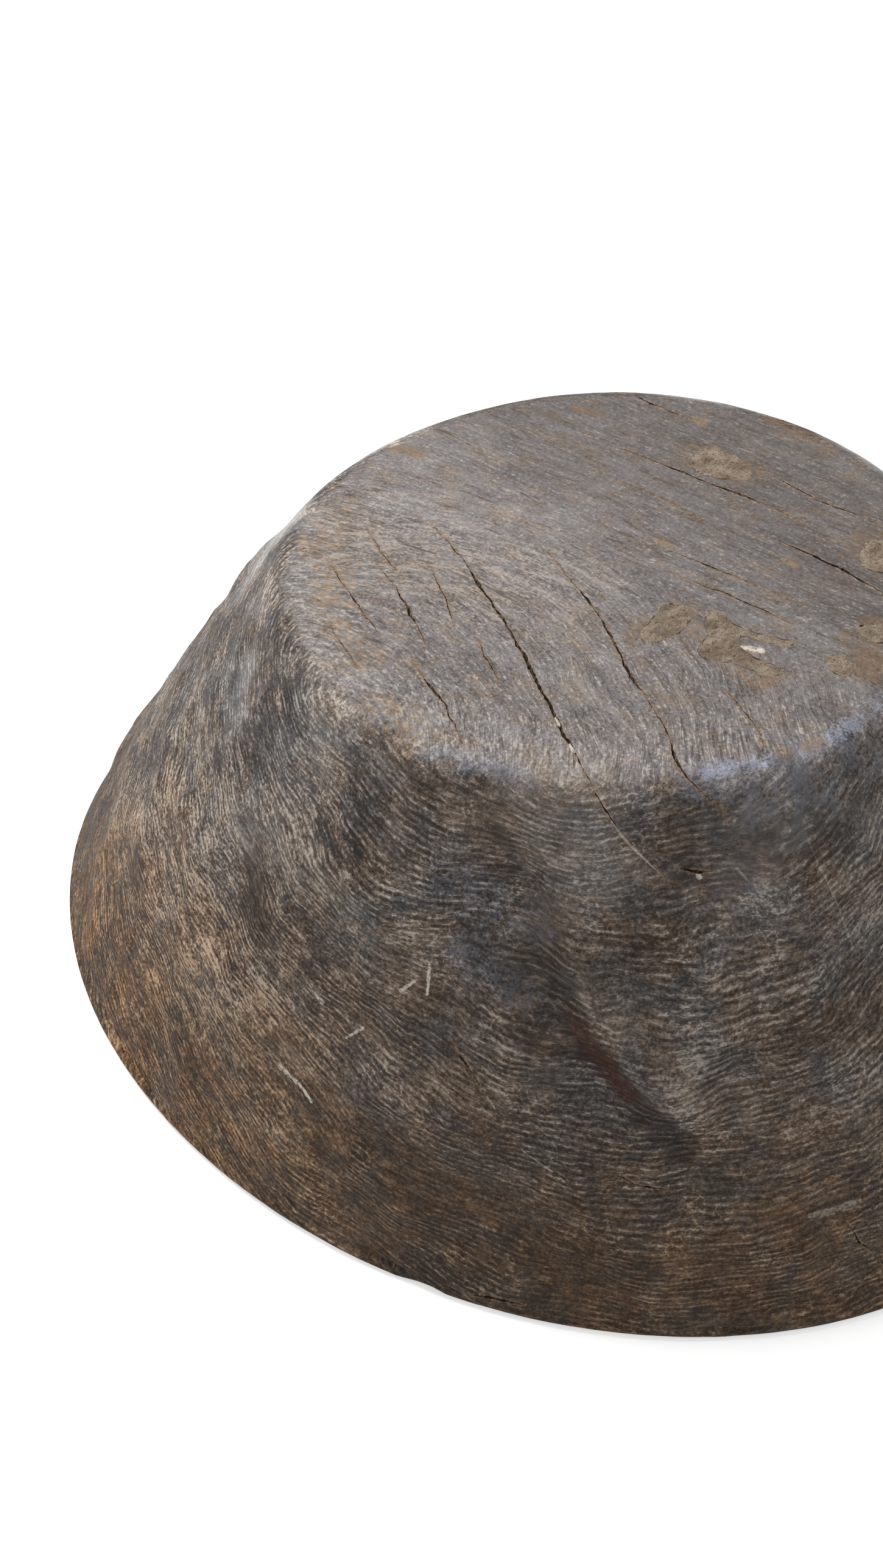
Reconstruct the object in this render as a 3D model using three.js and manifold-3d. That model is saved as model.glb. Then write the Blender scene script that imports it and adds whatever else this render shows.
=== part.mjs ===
// A hand-hewn wooden bowl, dug out of one block of a log and left upside down on its rim, foot up.
// The bowl is one piece of wood. Dried earth sits in its worn hollows, and pale grit in its widest check.
// Millimetres. X runs along the grain, Y across it, and Z goes up from the rim plane to the foot.

import * as THREE from 'three';
import { mergeVertices } from 'three/addons/utils/BufferGeometryUtils.js';
import Module from 'manifold-3d';

const wasm = await Module();
wasm.setup();

// Driving sizes of the outside
const rimLength = 445;
const rimWidth = 373;
const bowlHeight = 180;
const footLength = 236;
const footWidth = 248;
const footShiftX = 8;
const footShiftY = 6;
const wallSwell = 5;
const shoulderReach = 13;

// Driving sizes of the hollow and the rim
const rimThickness = 17;
const rimRounding = 4;
const baseThickness = 27;
const floorThickness = 34;
const hollowCornerReach = 62;

// Adze scoops on the outside and gouge scoops in the hollow.
// The fades are shares of a stretch of the section.
const adzeSpacing = 41;
const adzeDepth = 2.4;
const adzeFadeAtRim = 0.12;
const adzeFadeAtShoulder = 0.1;
const gougeSpacing = 33;
const gougeDepth = 1.9;
const gougeFadeAtRim = 0.2;
const gougeFadeAtFloor = 0.4;
const latticeUnevenness = 0.5;
const dishReach = 0.6;

// Drying checks. Both ends run out over the taper to a share of the full opening.
const checkTaper = 14;
const checkEndOpening = 0.25;
const checkCutAbove = 5;

// What is lodged in the wood, and how far it stands off its seat, below the foot or above the check
const lodgedClearance = 0.3;
const earthDepth = 4;
const earthSunk = 0.5;
const earthCutAbove = 3;
const gritProud = 0.4;
const gritTopShare = 0.6;

// Faces: steps round the bowl and along each stretch of its section
const stepsRound = 120;
const footRings = 3;
const shoulderRings = 3;
const wallRings = 14;
const roundingRings = 2;
const innerWallRings = 8;
const innerCornerRings = 6;
const ceilingRings = 2;
const checkStep = 6;

// Colours, roughness and metalness
const woodFinish = { color: 0x4a4039, roughness: 0.75, metalness: 0 };
const earthFinish = { color: 0x7d6a54, roughness: 0.95, metalness: 0 };
const gritFinish = { color: 0xb9b2a6, roughness: 0.9, metalness: 0 };

const { lerp, smoothstep } = THREE.MathUtils;
const hollowDepth = bowlHeight - floorThickness;

// Distance from an oval's centre to its outline in the direction of angle.
function ovalRadius(angle, length, width) {
  return 1 / Math.hypot(Math.cos(angle) / (length / 2), Math.sin(angle) / (width / 2));
}

// A point on a curve that leaves start, is drawn towards corner and arrives at end.
function cornerCurve(start, corner, end, along) {
  const back = 1 - along;
  const blend = (key) => back * back * start[key] + 2 * back * along * corner[key] + along * along * end[key];
  return { radius: blend('radius'), height: blend('height') };
}

// The outer wall line at one angle: a straight taper from rim to foot with a slight outward swell.
function outerWall(angle, height) {
  const rise = height / bowlHeight;
  const rim = ovalRadius(angle, rimLength, rimWidth);
  const foot = ovalRadius(angle, footLength, footWidth);
  return { radius: lerp(rim, foot, rise) + wallSwell * 4 * rise * (1 - rise), height };
}

// The outside section: stage 0 to 1 is the wall from the rim up, 1 to 2 the worn shoulder, 2 to 3 the foot.
function outerProfile(angle, stage) {
  const rim = ovalRadius(angle, rimLength, rimWidth);
  const corner = outerWall(angle, bowlHeight);
  const slope = Math.hypot(rim - corner.radius, bowlHeight);
  const wallTop = bowlHeight * (1 - shoulderReach / slope);
  const flatEdge = { radius: corner.radius - shoulderReach, height: bowlHeight };
  if (stage <= 1) return outerWall(angle, lerp(rimRounding, wallTop, stage));
  if (stage <= 2) return cornerCurve(outerWall(angle, wallTop), corner, flatEdge, stage - 1);
  return { radius: flatEdge.radius * (3 - stage), height: bowlHeight };
}

// The hollow's wall line: inside the outer wall by a thickness that grows from the rim to the base.
function innerWall(angle, height) {
  const thickness = lerp(rimThickness, baseThickness, height / hollowDepth);
  return { radius: outerWall(angle, height).radius - thickness, height };
}

// The hollow's section: stage 0 to 1 is its wall, 1 to 2 the round corner, 2 to 3 the flat under the foot.
function innerProfile(angle, stage) {
  const wallTop = hollowDepth - hollowCornerReach;
  const corner = innerWall(angle, hollowDepth);
  const flatEdge = { radius: corner.radius - hollowCornerReach, height: hollowDepth };
  if (stage <= 1) return innerWall(angle, lerp(rimRounding, wallTop, stage));
  if (stage <= 2) return cornerCurve(innerWall(angle, wallTop), corner, flatEdge, stage - 1);
  return { radius: flatEdge.radius * (3 - stage), height: hollowDepth };
}

// The rim's outer edge, worn round from the wall down to the flat that the bowl rests on.
function rimOuterEdge(angle, stage) {
  const corner = outerWall(angle, 0);
  const flatEdge = { radius: corner.radius - rimRounding, height: 0 };
  return cornerCurve(outerWall(angle, rimRounding), corner, flatEdge, stage);
}

// The rim's inner edge, worn round from the flat up into the hollow.
function rimInnerEdge(angle, stage) {
  const corner = innerWall(angle, 0);
  const flatEdge = { radius: corner.radius + rimRounding, height: 0 };
  return cornerCurve(flatEdge, corner, innerWall(angle, rimRounding), stage);
}

// A fixed number from 0 to 1 for each cell of the scoop lattice.
function chance(column, row, salt) {
  const wave = Math.sin(column * 12.9898 + row * 78.233 + salt * 37.719) * 43758.5453;
  return wave - Math.floor(wave);
}

// Depth of the scoops at a place: a shallow dish about each centre of a staggered, uneven lattice.
function scoopDepth(turn, rise, columns, rows, depth, salt) {
  const across = turn * columns;
  const up = rise * rows;
  let nearest = Infinity;
  for (let row = Math.floor(up) - 1; row <= Math.floor(up) + 1; row++) {
    const stagger = (row & 1) / 2;
    for (let column = Math.floor(across) - 2; column <= Math.floor(across) + 1; column++) {
      const cell = (column + columns) % columns;
      const shiftAcross = latticeUnevenness * (chance(cell, row, salt) - 0.5);
      const shiftUp = latticeUnevenness * (chance(cell, row, salt + 1) - 0.5);
      const fromCentre = Math.hypot(across - column - stagger - 0.5 - shiftAcross, up - row - 0.5 - shiftUp);
      nearest = Math.min(nearest, fromCentre);
    }
  }
  return depth * Math.max(0, 1 - nearest ** 2 / dishReach);
}

// Scoops cut in the outer wall, fading at the rim and under the foot's shoulder.
function adzeScoop(angle, stage) {
  const girth = Math.PI * (rimLength + rimWidth + footLength + footWidth) / 4;
  const slope = Math.hypot((rimLength - footLength) / 2, bowlHeight);
  const columns = Math.round(girth / adzeSpacing);
  const rows = slope / adzeSpacing;
  const fade = smoothstep(stage, 0, adzeFadeAtRim) * smoothstep(1 - stage, 0, adzeFadeAtShoulder);
  return fade * scoopDepth(angle / (2 * Math.PI), stage, columns, rows, adzeDepth, 1);
}

// Scoops cut in the hollow, fading at the rim and towards the middle of the hollow's floor.
function gougeScoop(angle, stage) {
  const middle = hollowDepth / 2;
  const girth = Math.PI * (innerWall(0, middle).radius + innerWall(Math.PI / 2, middle).radius);
  const columns = Math.round(girth / gougeSpacing);
  const rows = hollowDepth / gougeSpacing;
  const fade = smoothstep(stage, 0, gougeFadeAtRim) * smoothstep(2 - stage, 0, gougeFadeAtFloor);
  return fade * scoopDepth(angle / (2 * Math.PI), stage, columns, rows, gougeDepth, 5);
}

// Place of a section point in space: each level's centre drifts from the rim's centre to the foot's.
function place(angle, section) {
  const drift = section.height / bowlHeight;
  const x = footShiftX * drift + section.radius * Math.cos(angle);
  const y = footShiftY * drift + section.radius * Math.sin(angle);
  return new THREE.Vector3(x, y, section.height);
}

function scoopedOuter(angle, stage) {
  const section = outerProfile(angle, stage);
  return { radius: section.radius - adzeScoop(angle, stage), height: section.height };
}

function scoopedInner(angle, stage) {
  const section = innerProfile(angle, stage);
  return { radius: section.radius + gougeScoop(angle, stage), height: section.height };
}

// Section functions from the foot's middle, down the outside, under the rim and up into the hollow.
function sectionStations() {
  const stations = [];
  const add = (profile, from, to, count) => {
    for (let k = 1; k <= count; k++) {
      const stage = lerp(from, to, k / count);
      stations.push((angle) => profile(angle, stage));
    }
  };
  add(outerProfile, 3, 2, footRings);
  add(outerProfile, 2, 1, shoulderRings);
  add(scoopedOuter, 1, 0, wallRings);
  add(rimOuterEdge, 0, 1, roundingRings);
  stations.push((angle) => rimInnerEdge(angle, 0));
  add(rimInnerEdge, 0, 1, roundingRings);
  add(scoopedInner, 0, 1, innerWallRings);
  add(scoopedInner, 1, 2, innerCornerRings);
  add(innerProfile, 2, 3, ceilingRings);
  stations.pop();
  return stations;
}

// The whole bowl before checks and hollows are cut: rings of points joined by faces, closed at two middles.
function bowlShell() {
  const stations = sectionStations();
  const points = [place(0, { radius: 0, height: bowlHeight })];
  for (const section of stations) {
    for (let k = 0; k < stepsRound; k++) {
      const angle = 2 * Math.PI * k / stepsRound;
      points.push(place(angle, section(angle)));
    }
  }
  points.push(place(0, { radius: 0, height: hollowDepth }));
  const at = (ring, k) => 1 + ring * stepsRound + (k % stepsRound);
  const faces = [];
  for (let k = 0; k < stepsRound; k++) {
    faces.push(0, at(0, k), at(0, k + 1));
    for (let ring = 0; ring + 1 < stations.length; ring++) {
      faces.push(at(ring, k), at(ring + 1, k), at(ring, k + 1));
      faces.push(at(ring + 1, k), at(ring + 1, k + 1), at(ring, k + 1));
    }
    faces.push(at(stations.length - 1, k), points.length - 1, at(stations.length - 1, k + 1));
  }
  const shell = new THREE.BufferGeometry().setFromPoints(points);
  shell.setIndex(faces);
  return shell;
}

// Height of the outer surface over a place in plan, found by halving the section.
function surfaceHeight(x, y) {
  let low = 0;
  let high = 3;
  let height = 0;
  for (let pass = 0; pass < 36; pass++) {
    const stage = (low + high) / 2;
    const guess = outerProfile(Math.atan2(y, x), stage);
    const offX = x - footShiftX * guess.height / bowlHeight;
    const offY = y - footShiftY * guess.height / bowlHeight;
    const section = outerProfile(Math.atan2(offY, offX), stage);
    height = section.height;
    if (Math.hypot(offX, offY) > section.radius) high = stage;
    else low = stage;
  }
  return height;
}

function surfaceNormal(x, y) {
  const reach = 1;
  const alongX = (surfaceHeight(x + reach, y) - surfaceHeight(x - reach, y)) / (2 * reach);
  const alongY = (surfaceHeight(x, y + reach) - surfaceHeight(x, y - reach)) / (2 * reach);
  return new THREE.Vector3(-alongX, -alongY, 1).normalize();
}

// A place in plan, from hundredths of the foot's half length and half width out of its middle.
function onFoot([share, shareAcross]) {
  const x = footShiftX + share * footLength / 200;
  const y = footShiftY + shareAcross * footWidth / 200;
  return new THREE.Vector3(x, y, 0);
}

// Steps along a stretch of a check: places on the surface, their up and side directions, and the opening.
function checkSteps(check, from, to) {
  const curve = new THREE.CatmullRomCurve3(check.route.map(onFoot));
  const length = curve.getLength();
  const count = Math.ceil(length * (to - from) / checkStep);
  return Array.from({ length: count + 1 }, (_, k) => {
    const along = lerp(from, to, k / count);
    const { x, y } = curve.getPointAt(along);
    const ahead = curve.getTangentAt(along);
    const up = surfaceNormal(x, y);
    const side = new THREE.Vector3().crossVectors(up, ahead).normalize();
    const fromEnd = Math.min(along, 1 - along) * length;
    const open = lerp(checkEndOpening, 1, smoothstep(fromEnd, 0, checkTaper));
    return { at: new THREE.Vector3(x, y, surfaceHeight(x, y)), up, side, open };
  });
}

// A closed body lofted through like outlines, each a list of points that runs clockwise seen from its start.
function loftedBody(outlines) {
  const size = outlines[0].length;
  const faces = [];
  for (let k = 0; k + 1 < outlines.length; k++) {
    for (let i = 0; i < size; i++) {
      const a = k * size + i;
      const b = k * size + (i + 1) % size;
      faces.push(a, b, a + size, b, b + size, a + size);
    }
  }
  const last = (outlines.length - 1) * size;
  for (let i = 1; i + 1 < size; i++) {
    faces.push(0, i + 1, i);
    faces.push(last, last + i, last + i + 1);
  }
  const body = new THREE.BufferGeometry().setFromPoints(outlines.flat());
  body.setIndex(faces);
  return body;
}

// One outline of a check's V: its point below, its two edges at the surface and its two top corners.
function veeOutline(step, halfWidth, depth, above, topHalfWidth) {
  const spot = (side, up) => step.at.clone().addScaledVector(step.side, side).addScaledVector(step.up, up);
  return [
    spot(0, -depth),
    spot(halfWidth, 0),
    spot(topHalfWidth, above),
    spot(-topHalfWidth, above),
    spot(-halfWidth, 0),
  ];
}

// The wood that a check has opened: a V that narrows and runs out at both ends.
function checkCut(check) {
  const outlines = checkSteps(check, 0, 1).map((step) => {
    const halfWidth = check.halfWidth * step.open;
    return veeOutline(step, halfWidth, check.depth * step.open, checkCutAbove, halfWidth);
  });
  return loftedBody(outlines);
}

// What fills a stretch of a check: the same V, lifted until its sides clear the wood.
function checkFiller(check, from, to) {
  const sideAngle = Math.atan2(check.halfWidth, check.depth);
  const lift = lodgedClearance / Math.sin(sideAngle);
  const outlines = checkSteps(check, from, to).map((step) => {
    const depth = check.depth * step.open - lift;
    const halfWidth = depth * check.halfWidth / check.depth;
    return veeOutline(step, halfWidth, depth, gritProud, halfWidth * gritTopShare);
  });
  return loftedBody(outlines);
}

// A smooth closed outline in plan, pulled in by a gap all round.
function patchShape(outline, gap) {
  const curve = new THREE.CatmullRomCurve3(outline.map(onFoot), true);
  const count = outline.length * 2;
  const ring = curve.getPoints(count).slice(0, count).map(({ x, y }) => new THREE.Vector2(x, y));
  if (!THREE.ShapeUtils.isClockWise(ring)) ring.reverse();
  const inset = ring.map((point, k) => {
    const ahead = ring[(k + 1) % count].clone().sub(ring[(k + count - 1) % count]).normalize();
    return new THREE.Vector2(point.x + ahead.y * gap, point.y - ahead.x * gap);
  });
  return new THREE.Shape(inset);
}

function patchBody(outline, gap, low, high) {
  const extent = { depth: high - low, bevelEnabled: false };
  return new THREE.ExtrudeGeometry(patchShape(outline, gap), extent).translate(0, 0, low);
}

// Joining and cutting
function toSolid(geometry) {
  const bare = geometry.clone();
  bare.deleteAttribute('normal');
  bare.deleteAttribute('uv');
  const merged = mergeVertices(bare, 1e-4);
  const vertProperties = new Float32Array(merged.attributes.position.array);
  const triVerts = new Uint32Array(merged.index.array);
  return new wasm.Manifold(new wasm.Mesh({ numProp: 3, vertProperties, triVerts }));
}

function toGeometry(solid) {
  const { vertProperties, triVerts } = solid.getMesh();
  const geometry = new THREE.BufferGeometry();
  geometry.setAttribute('position', new THREE.BufferAttribute(vertProperties, 3));
  geometry.setIndex(new THREE.BufferAttribute(triVerts, 1));
  return geometry;
}

function finished(name, geometry, finish) {
  const flat = geometry.index ? geometry.toNonIndexed() : geometry;
  flat.computeVertexNormals();
  const mesh = new THREE.Mesh(flat, new THREE.MeshStandardMaterial({ ...finish, flatShading: true }));
  mesh.name = name;
  return mesh;
}

// Drying checks in the foot, each along the grain. The front one runs over the shoulder and down the wall.
const frontCheck = {
  route: [[-53, -20], [-24, -31], [3, -46], [26, -59], [43, -70], [56, -77], [66, -80], [76, -78], [86, -74]],
  halfWidth: 1.4,
  depth: 9,
};
const checks = [
  frontCheck,
  { route: [[-20, -7], [12, -21], [36, -36], [57, -47], [74, -59], [91, -57]], halfWidth: 1, depth: 6 },
  { route: [[-68, -34], [-35, -51], [-14, -64]], halfWidth: 0.8, depth: 4 },
  { route: [[-9, -74], [10, -81], [27, -89]], halfWidth: 0.7, depth: 4 },
  { route: [[-39, 51], [-10, 53], [18, 55], [33, 54]], halfWidth: 0.7, depth: 4 },
  { route: [[24, 42], [47, 43], [67, 41], [83, 38]], halfWidth: 1, depth: 6 },
  { route: [[2, 16], [25, 19], [50, 21]], halfWidth: 0.6, depth: 3 },
  { route: [[14, 8], [35, 11], [58, 12]], halfWidth: 0.7, depth: 4 },
  { route: [[-63, 74], [-43, 77], [-33, 78]], halfWidth: 0.7, depth: 4 },
];

// Outlines of the worn hollows in the foot that hold dried earth
const earthPatches = {
  earth_centre: [
    [36, 1], [39, 3], [44, 1], [51, 2], [62, 5], [60, 1], [50, -2], [52, -6], [59, -8], [69, -6],
    [66, -12], [56, -14], [47, -17], [43, -13], [42, -8], [38, -5],
  ],
  earth_left: [[27, -20], [32, -21], [35, -12], [32, -4], [27, -2], [24, -5], [25, -12]],
  earth_far: [[-17, 58], [-19, 65], [-17, 70], [-7, 70], [1, 66], [1, 61], [-9, 56]],
  earth_edge: [[51, 56], [51, 61], [57, 63], [63, 58], [65, 51], [59, 48], [54, 50]],
  earth_right: [[72, 22], [75, 27], [80, 27], [82, 22], [78, 20]],
  earth_near_right: [[74, 4], [75, 8], [80, 9], [84, 7], [83, 3], [79, 2]],
};

// Stretches of the front check, as shares of its length, that pale grit fills
const gritStretches = {
  grit_upper: { from: 0.63, to: 0.66 },
  grit_lower: { from: 0.705, to: 0.735 },
  grit_wall: { from: 0.87, to: 0.97 },
};

let wood = toSolid(bowlShell());
for (const check of checks) {
  wood = wood.subtract(toSolid(checkCut(check)));
}
for (const outline of Object.values(earthPatches)) {
  wood = wood.subtract(toSolid(patchBody(outline, 0, bowlHeight - earthDepth, bowlHeight + earthCutAbove)));
}

const bowl = new THREE.Group();
bowl.add(finished('bowl', toGeometry(wood), woodFinish));
for (const [name, outline] of Object.entries(earthPatches)) {
  const low = bowlHeight - earthDepth + lodgedClearance;
  bowl.add(finished(name, patchBody(outline, lodgedClearance, low, bowlHeight - earthSunk), earthFinish));
}
for (const [name, { from, to }] of Object.entries(gritStretches)) {
  bowl.add(finished(name, checkFiller(frontCheck, from, to), gritFinish));
}

export default bowl;
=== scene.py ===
import math

import bpy
import numpy as np
from mathutils import Matrix, Vector


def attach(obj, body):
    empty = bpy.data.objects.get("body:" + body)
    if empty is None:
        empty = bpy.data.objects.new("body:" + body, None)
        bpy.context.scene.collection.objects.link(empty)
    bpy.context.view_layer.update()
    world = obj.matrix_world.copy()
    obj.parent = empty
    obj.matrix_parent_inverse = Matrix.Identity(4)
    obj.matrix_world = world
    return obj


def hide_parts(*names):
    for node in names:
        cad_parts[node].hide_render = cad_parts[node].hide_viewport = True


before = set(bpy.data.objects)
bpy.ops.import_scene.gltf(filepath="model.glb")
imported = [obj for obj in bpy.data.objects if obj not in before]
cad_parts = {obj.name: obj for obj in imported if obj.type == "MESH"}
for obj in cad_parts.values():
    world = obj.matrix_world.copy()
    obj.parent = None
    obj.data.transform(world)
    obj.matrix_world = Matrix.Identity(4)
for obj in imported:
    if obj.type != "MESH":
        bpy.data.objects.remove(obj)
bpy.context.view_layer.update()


# The bowl: one piece of dark hardwood, dug out of a half log and left upside down on its rim.
# Its outside was hewn with an adze and has worn smooth, and its hollow was cut out with a gouge.
# Metres: X runs along the grain, Y across it, and Z from the rim up to the foot.
rim_length, rim_width, bowl_height = 0.445, 0.373, 0.18
foot_length, foot_width = 0.236, 0.248
foot_middle = np.array([0.008, 0.006])
wall_swell, shoulder_reach = 0.005, 0.013
rim_thickness, base_thickness, rim_rounding = 0.017, 0.027, 0.004
hollow_depth, hollow_corner = 0.146, 0.062
adze_spacing, adze_depth, facet_depth = 0.041, 0.0031, 0.0007
gouge_spacing, gouge_depth, gouge_facet_depth = 0.033, 0.0019, 0.0005
mean_wall_cut, mean_foot_cut, least_wear = 0.0029, 0.0006, 0.0002
dent_depth = 0.0022
far_edge_shift = np.array([0, 0.004, 0.0003])
steps_round = 440
foot_steps = steps_round // 4


def join(*parts):
    """The parts side by side along a new last axis, spread to one shape."""
    return np.stack(np.broadcast_arrays(*parts), axis=-1)


def unit(vectors):
    """The vectors cut to a length of one."""
    return vectors / np.linalg.norm(vectors, axis=-1, keepdims=True)


def smooth(value, low, high):
    """Rises from 0 at low to 1 at high as 3 t squared minus 2 t cubed."""
    share = np.clip((value - low) / (high - low), 0, 1)
    return share * share * (3 - 2 * share)


def chance(cells, salt):
    """A fixed number from 0 to 1 for each lattice cell: the fraction of a large multiple of a sine."""
    mixed = cells @ np.array([12.9898, 78.233, 37.719][: cells.shape[-1]])
    wave = np.sin(mixed + salt * 37.719) * 43758.5453
    return wave - np.floor(wave)


def cloud(points, size, salt):
    """Soft noise from 0 to 1: chances at the corners of cells of the given size, blended across each
    cell as 3 t squared minus 2 t cubed."""
    place = points / np.asarray(size)
    cell = np.floor(place)
    share = place - cell
    share = share * share * (3 - 2 * share)
    total = 0
    for corner in np.ndindex(*[2] * points.shape[-1]):
        weight = np.prod(np.where(corner, share, 1 - share), axis=-1)
        total = total + weight * chance(cell + corner, salt)
    return total


def waves_in(points, *rows):
    """A sum of soft noises, each row holding its depth, size and salt."""
    return sum(depth * cloud(points, size, salt) for depth, size, salt in rows)


def oval_radius(angle, length, width):
    """Distance from an oval's middle: one over the length of (cos / half length, sin / half width)."""
    return 1 / np.hypot(np.cos(angle) / (length / 2), np.sin(angle) / (width / 2))


def bend(start, corner, end, along):
    """A curve from start to end, drawn towards a corner: the three are weighed by (1 - t) squared,
    2 t (1 - t) and t squared."""
    back = 1 - along
    return back**2 * start + 2 * back * along * corner + along**2 * end


def wall_radius(angle, height):
    """The outer wall: a straight taper from rim oval to foot oval, plus a swell of 4 t (1 - t)."""
    rise = height / bowl_height
    rim = oval_radius(angle, rim_length, rim_width)
    foot = oval_radius(angle, foot_length, foot_width)
    return rim + (foot - rim) * rise + wall_swell * 4 * rise * (1 - rise)


def hollow_radius(angle, height):
    """The hollow's wall: the outer wall less a thickness that grows from the rim to the base."""
    thickness = rim_thickness + (base_thickness - rim_thickness) * height / hollow_depth
    return wall_radius(angle, height) - thickness


def section(angle, stage, radius_at, wall_top, top, corner, rounding):
    """Radius and height of one side of the shell: stage -1 to 0 is the rim's edge, 0 to 1 the wall,
    1 to 2 the bend into the flat and 2 to 3 the flat, in to its middle."""
    under, up, over, inward = (np.clip(part, 0, 1) for part in (-stage, stage, stage - 1, stage - 2))
    top_radius = radius_at(angle, top)
    height = rim_rounding + (wall_top - rim_rounding) * up
    radius = bend(radius_at(angle, height), top_radius, top_radius - corner, over)
    height = bend(height, top, top, over)
    low_radius = radius_at(angle, 0 * height)
    radius = bend(radius * (1 - inward), low_radius, low_radius + rounding, under)
    return radius, bend(height, 0, 0, under)


def outer_section(angle, stage):
    """The outside: its wall bends over the worn shoulder into the foot."""
    run = oval_radius(angle, rim_length, rim_width) - wall_radius(angle, bowl_height)
    wall_top = bowl_height * (1 - shoulder_reach / np.hypot(run, bowl_height))
    return section(angle, stage, wall_radius, wall_top, bowl_height, shoulder_reach, -rim_rounding)


def hollow_section(angle, stage):
    """The hollow: its wall bends through a round corner into the flat under the foot."""
    wall_top = hollow_depth - hollow_corner
    return section(angle, stage, hollow_radius, wall_top, hollow_depth, hollow_corner, rim_rounding)


def scoops(turn, rise, columns, rows, salt):
    """Shallow dishes from 0 to 1 deep about the centres of a staggered, uneven lattice: one less the
    squared distance to the nearest centre over 0.6, measured in cells."""
    across, up = turn * columns, rise * rows
    nearest = np.full(np.broadcast(across, up).shape, 9.0)
    for row_step in (-1, 0, 1):
        row = np.floor(up) + row_step
        for column_step in (-2, -1, 0, 1):
            column = np.floor(across) + column_step
            cell = join(column % columns, row)
            shift = 0.5 * (chance(cell, salt) - 0.5)
            lift = 0.5 * (chance(cell, salt + 1) - 0.5)
            off = np.hypot(across - column - row % 2 / 2 - 0.5 - shift, up - row - 0.5 - lift)
            nearest = np.minimum(nearest, off)
    return np.maximum(0, 1 - nearest**2 / 0.6)


def in_space(angle, radius, height):
    """Places in space of section points: each level's middle drifts from the rim's to the foot's."""
    middle_x, middle_y = (part * (height / bowl_height) for part in foot_middle)
    return join(middle_x + radius * np.cos(angle), middle_y + radius * np.sin(angle), height)


def distance_to_path(points, path):
    """Distance from each point to the nearest of the straight pieces between the path's knots."""
    nearest = np.full(points.shape[:-1], 9.0)
    for start, end in zip(path[:-1], path[1:]):
        way = end - start
        along = np.clip((points - start) @ way / (way @ way), 0, 1)
        nearest = np.minimum(nearest, np.linalg.norm(points - start - along[..., None] * way, axis=-1))
    return nearest


# Carving on the near wall: a long adze cut that runs down it, the ridge that the cut left standing
# beside it, and a knot. Each row is a path in millimetres, with a depth and a reach in metres.
carvings = [
    ([(72, -112, 150), (80, -120, 122), (99, -121, 96), (117, -119, 80), (139, -108, 67)], 0.0038, 0.009),
    ([(93, -118, 130), (110, -118, 111), (124, -117, 94), (139, -112, 82)], -0.002, 0.007),
    ([(61, -112, 160), (62, -112, 159)], 0.001, 0.008),
]


def facing(angle, stage):
    """The way that the outside faces: down at the rim's edge, outwards on the wall, up on the foot."""
    over, under = smooth(stage, 1, 2), np.clip(-stage, 0, 1)
    level = (1 - over) * (1 - under)
    return join(level * np.cos(angle), level * np.sin(angle), over - under)


def outside(angle, stage):
    """Points of the outside: the section, less adze scoops, small facets, slow waves, the carving, fine
    wear and dents in the rim's edge. The edge of the foot is drawn out a little on the far side."""
    point = in_space(angle, *outer_section(angle, stage))
    turn = angle / (2 * math.pi) % 1
    girth = math.pi * (rim_length + rim_width + foot_length + foot_width) / 4
    slope = math.hypot((rim_length - foot_length) / 2, bowl_height)
    columns = round(girth / adze_spacing)
    wall = smooth(stage, 0, 0.12) * smooth(1 - stage, 0, 0.1)
    broad = smooth(stage, -0.1, 0.15) * smooth(1.5 - stage, 0, 0.6)
    foot = smooth(stage, 1.2, 2.1)
    worn = wall * adze_depth * scoops(turn, stage, columns, slope / adze_spacing, 1)
    worn = worn + broad * facet_depth * scoops(turn, stage, 3 * columns, 2.6 * slope / adze_spacing, 11)
    worn = worn + broad * waves_in(point, (0.0016, 0.052, 21), (0.0006, 0.017, 22))
    for path, depth, reach in carvings:
        share = distance_to_path(point, np.array(path) / 1000) / reach
        worn = worn + wall * depth * np.exp(-(share**2))
    worn = worn + foot * waves_in(point, (0.0009, 0.061, 31), (0.0004, [0.034, 0.007, 0.05], 32))
    worn = worn + least_wear + 0.0003 * cloud(point, 0.006, 33) - mean_wall_cut * wall - mean_foot_cut * foot
    far_edge = smooth(np.sin(angle), 0.2, 0.8) * smooth(stage, 0.7, 1.2) * smooth(2.2 - stage, 0, 0.5)
    point = point + far_edge[..., None] * far_edge_shift
    rim_edge = smooth(stage, -1, -0.5) * smooth(0.1 - stage, 0, 0.12)
    worn = worn + rim_edge * dent_depth * smooth(cloud(point, [0.02, 0.02, 0.004], 41), 0.62, 0.95)
    return point - worn[..., None] * facing(angle, stage)


def inside(angle, stage):
    """Points of the hollow: the section, with gouge scoops, facets and slow waves cut into the wood."""
    point = in_space(angle, *hollow_section(angle, stage))
    turn = angle / (2 * math.pi) % 1
    middle = hollow_depth / 2
    girth = math.pi * (hollow_radius(0, middle) + hollow_radius(math.pi / 2, middle))
    columns, rows, facet_rows = round(girth / gouge_spacing), hollow_depth / gouge_spacing, 12
    wall = smooth(stage, 0, 0.2) * smooth(2 - stage, 0, 0.4)
    broad = smooth(stage, 0, 0.1) * smooth(2.3 - stage, 0, 0.6)
    cut = wall * gouge_depth * scoops(turn, stage, columns, rows, 5)
    cut = cut + broad * gouge_facet_depth * scoops(turn, stage, 3 * columns, facet_rows, 51)
    cut = cut + smooth(stage, 0, 0.2) * waves_in(point, (0.0012, 0.047, 52), (0.0005, 0.012, 53))
    return point + cut[..., None] * facing(angle, stage)


def add_object(name, data):
    """An object in the scene, at the origin, that shows a mesh, lamp or camera."""
    made = bpy.data.objects.new(name, data)
    bpy.context.scene.collection.objects.link(made)
    return made


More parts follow.
